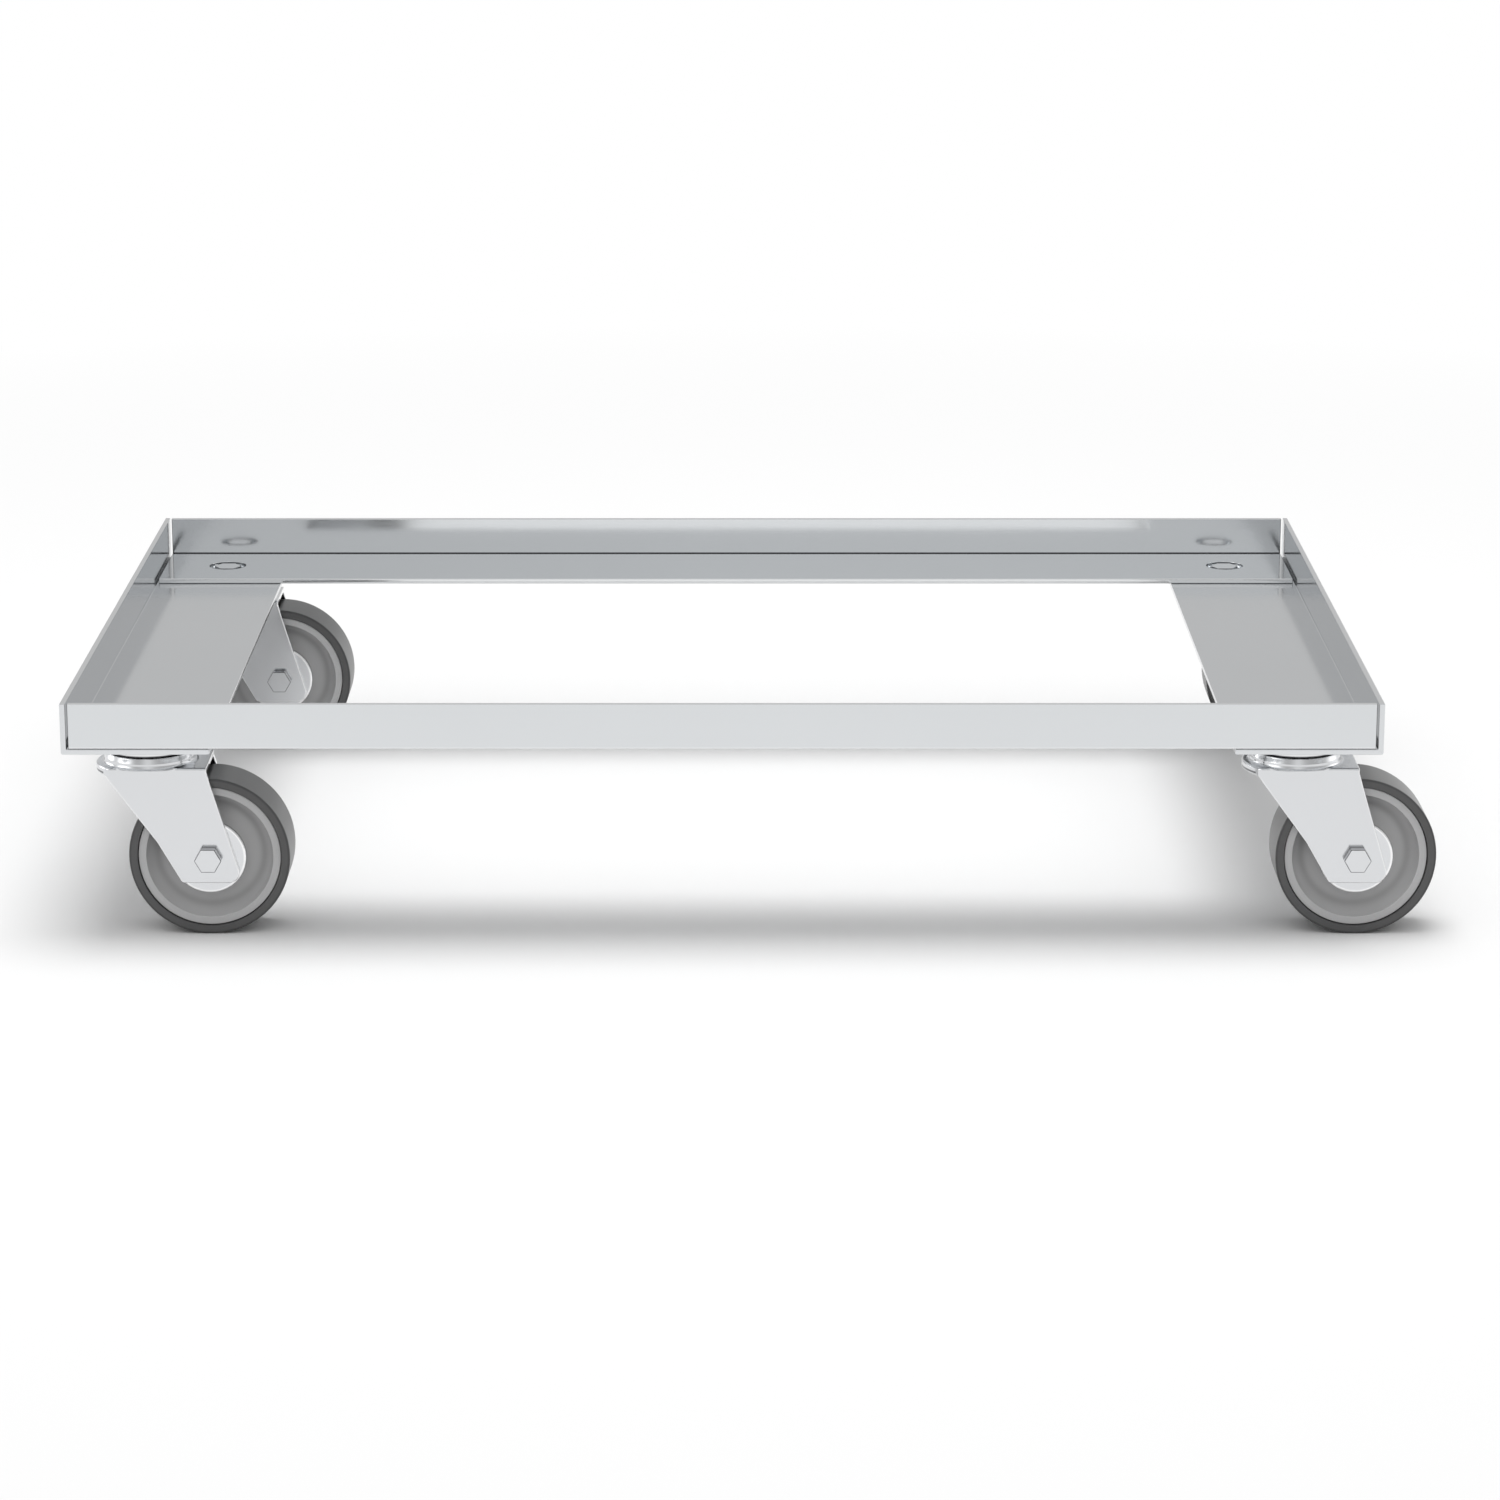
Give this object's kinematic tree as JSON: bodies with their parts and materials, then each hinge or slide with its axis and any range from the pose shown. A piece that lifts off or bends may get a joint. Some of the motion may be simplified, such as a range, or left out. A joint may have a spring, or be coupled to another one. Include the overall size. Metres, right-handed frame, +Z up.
{
  "type": "crate dolly",
  "caption": "Low open dolly: a rectangular frame of sheet metal angles with raised edges, carried on swivel casters with grey tyred wheels.",
  "frame": {"origin": "on the floor, below the centre of the whole outline", "axes": "+X to the right along the long rails, the way the casters trail; +Y from front to back; +Z up"},
  "size_m": [0.636, 0.407, 0.1155],
  "materials": {
    "sheet_metal": "satin to glossy bare sheet, clear reflections near what it touches",
    "zinc_steel": "bright zinc plating, satin gloss",
    "bright_steel": "polished, mirror-like",
    "wheel_plastic": "smooth moulded light grey plastic, satin",
    "tyre_rubber": "smooth non-marking grey rubber, matt"
  },
  "bodies": {
    "base_frame": {"left_side_angle": "sheet_metal", "right_side_angle": "sheet_metal", "front_rail": "sheet_metal", "rear_rail": "sheet_metal", "front_left_top_cup": "bright_steel", "front_left_kingpin": "zinc_steel", "front_left_mount_bolt": "bright_steel", "front_left_mount_washer": "zinc_steel", "front_left_mount_nut": "zinc_steel", "front_right_top_cup": "bright_steel", "front_right_kingpin": "zinc_steel", "front_right_mount_bolt": "bright_steel", "front_right_mount_washer": "zinc_steel", "front_right_mount_nut": "zinc_steel", "rear_left_top_cup": "bright_steel", "rear_left_kingpin": "zinc_steel", "rear_left_mount_bolt": "bright_steel", "rear_left_mount_washer": "zinc_steel", "rear_left_mount_nut": "zinc_steel", "rear_right_top_cup": "bright_steel", "rear_right_kingpin": "zinc_steel", "rear_right_mount_bolt": "bright_steel", "rear_right_mount_washer": "zinc_steel", "rear_right_mount_nut": "zinc_steel"},
    "front_left_swivel_fork": {"front_left_ball_ring": "bright_steel", "front_left_fork": "zinc_steel", "front_left_axle_bolt": "zinc_steel", "front_left_axle_nut": "zinc_steel", "front_left_axle_sleeve": "zinc_steel", "front_left_near_thread_guard": "zinc_steel", "front_left_far_thread_guard": "zinc_steel"},
    "front_left_wheel": {"front_left_wheel_core": "wheel_plastic", "front_left_tyre": "tyre_rubber"},
    "front_right_swivel_fork": {"front_right_ball_ring": "bright_steel", "front_right_fork": "zinc_steel", "front_right_axle_bolt": "zinc_steel", "front_right_axle_nut": "zinc_steel", "front_right_axle_sleeve": "zinc_steel", "front_right_near_thread_guard": "zinc_steel", "front_right_far_thread_guard": "zinc_steel"},
    "front_right_wheel": {"front_right_wheel_core": "wheel_plastic", "front_right_tyre": "tyre_rubber"},
    "rear_left_swivel_fork": {"rear_left_ball_ring": "bright_steel", "rear_left_fork": "zinc_steel", "rear_left_axle_bolt": "zinc_steel", "rear_left_axle_nut": "zinc_steel", "rear_left_axle_sleeve": "zinc_steel", "rear_left_near_thread_guard": "zinc_steel", "rear_left_far_thread_guard": "zinc_steel"},
    "rear_left_wheel": {"rear_left_wheel_core": "wheel_plastic", "rear_left_tyre": "tyre_rubber"},
    "rear_right_swivel_fork": {"rear_right_ball_ring": "bright_steel", "rear_right_fork": "zinc_steel", "rear_right_axle_bolt": "zinc_steel", "rear_right_axle_nut": "zinc_steel", "rear_right_axle_sleeve": "zinc_steel", "rear_right_near_thread_guard": "zinc_steel", "rear_right_far_thread_guard": "zinc_steel"},
    "rear_right_wheel": {"rear_right_wheel_core": "wheel_plastic", "rear_right_tyre": "tyre_rubber"}
  },
  "joints": [
    {"name": "front_left_swivel", "type": "hinge", "parent": "base_frame", "child": "front_left_swivel_fork", "pos_m": [-0.28135, -0.1709, 0.0838], "axis": [0, 0, 1], "continuous": true},
    {"name": "front_left_roll", "type": "hinge", "parent": "front_left_swivel_fork", "child": "front_left_wheel", "pos_m": [-0.25335, -0.1709, 0.0375], "axis": [0, 1, 0], "continuous": true},
    {"name": "front_right_swivel", "type": "hinge", "parent": "base_frame", "child": "front_right_swivel_fork", "pos_m": [0.25245, -0.1709, 0.0838], "axis": [0, 0, 1], "continuous": true},
    {"name": "front_right_roll", "type": "hinge", "parent": "front_right_swivel_fork", "child": "front_right_wheel", "pos_m": [0.28045, -0.1709, 0.0375], "axis": [0, 1, 0], "continuous": true},
    {"name": "rear_left_swivel", "type": "hinge", "parent": "base_frame", "child": "rear_left_swivel_fork", "pos_m": [-0.28135, 0.1709, 0.0838], "axis": [0, 0, 1], "continuous": true},
    {"name": "rear_left_roll", "type": "hinge", "parent": "rear_left_swivel_fork", "child": "rear_left_wheel", "pos_m": [-0.25335, 0.1709, 0.0375], "axis": [0, 1, 0], "continuous": true},
    {"name": "rear_right_swivel", "type": "hinge", "parent": "base_frame", "child": "rear_right_swivel_fork", "pos_m": [0.25245, 0.1709, 0.0838], "axis": [0, 0, 1], "continuous": true},
    {"name": "rear_right_roll", "type": "hinge", "parent": "rear_right_swivel_fork", "child": "rear_right_wheel", "pos_m": [0.28045, 0.1709, 0.0375], "axis": [0, 1, 0], "continuous": true}
  ]
}
